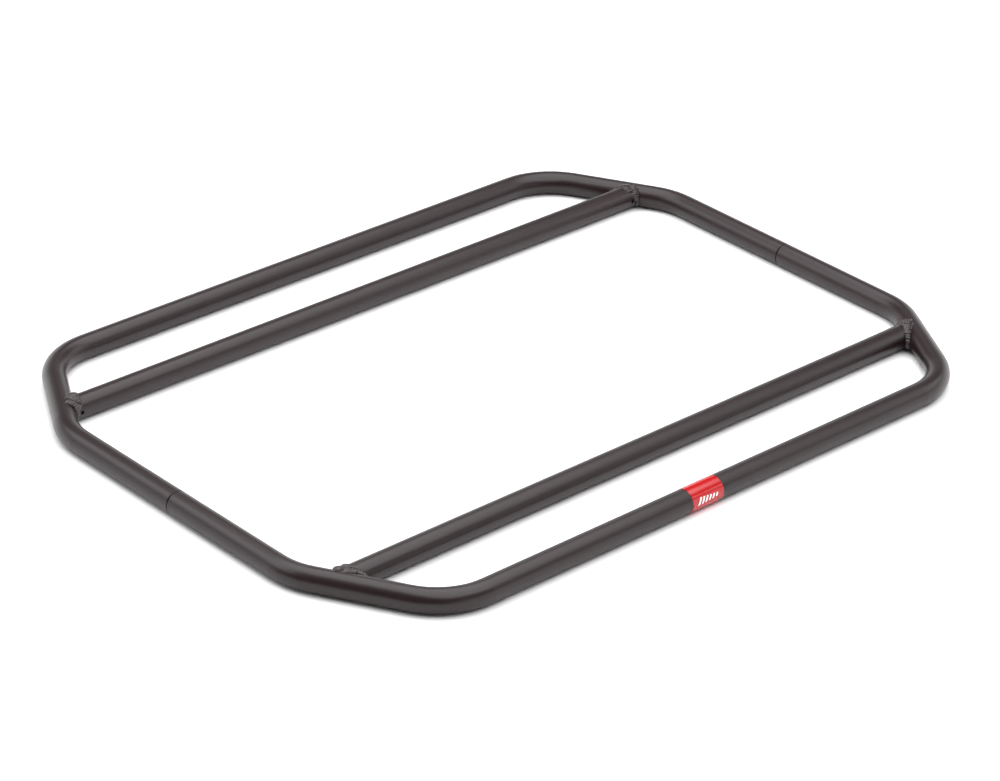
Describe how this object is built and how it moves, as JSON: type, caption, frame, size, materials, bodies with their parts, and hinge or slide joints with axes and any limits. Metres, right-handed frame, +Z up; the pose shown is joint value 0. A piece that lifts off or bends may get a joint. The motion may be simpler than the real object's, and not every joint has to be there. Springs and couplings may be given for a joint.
{
  "type": "luggage rack frame",
  "caption": "Flat tubular luggage rack frame with slanted corners and welded cross tubes; its halves push together over hidden connector sleeves.",
  "frame": {"origin": "on the resting plane, at the middle of the loop", "axes": "+X along the long sides, +Y across the rack from the labelled front half to the rear half, +Z up, square to the loop's plane"},
  "size_m": [0.643, 0.4791, 0.0201],
  "materials": {
    "powder_coat": "satin black powder coat",
    "weld_coat": "satin black powder coat over rippled weld beads",
    "sleeve": "machined",
    "grub_screw": "black oxide",
    "label": "red printed film with a plain white emblem"
  },
  "bodies": {
    "front_half": {"front_rail": "powder_coat", "front_cross_tube": "powder_coat", "front_left_weld": "weld_coat", "front_right_weld": "weld_coat", "front_left_grub_screw": "grub_screw", "front_right_grub_screw": "grub_screw", "left_connector_sleeve": "sleeve", "right_connector_sleeve": "sleeve", "front_label": "label"},
    "rear_half": {"rear_rail": "powder_coat", "rear_cross_tube": "powder_coat", "rear_left_weld": "weld_coat", "rear_right_weld": "weld_coat", "rear_left_grub_screw": "grub_screw", "rear_right_grub_screw": "grub_screw"}
  },
  "joints": [
    {"name": "rear_half_slide", "type": "slide", "parent": "front_half", "child": "rear_half", "axis": [0, 1, 0], "range_m": [0, 0.06]}
  ]
}
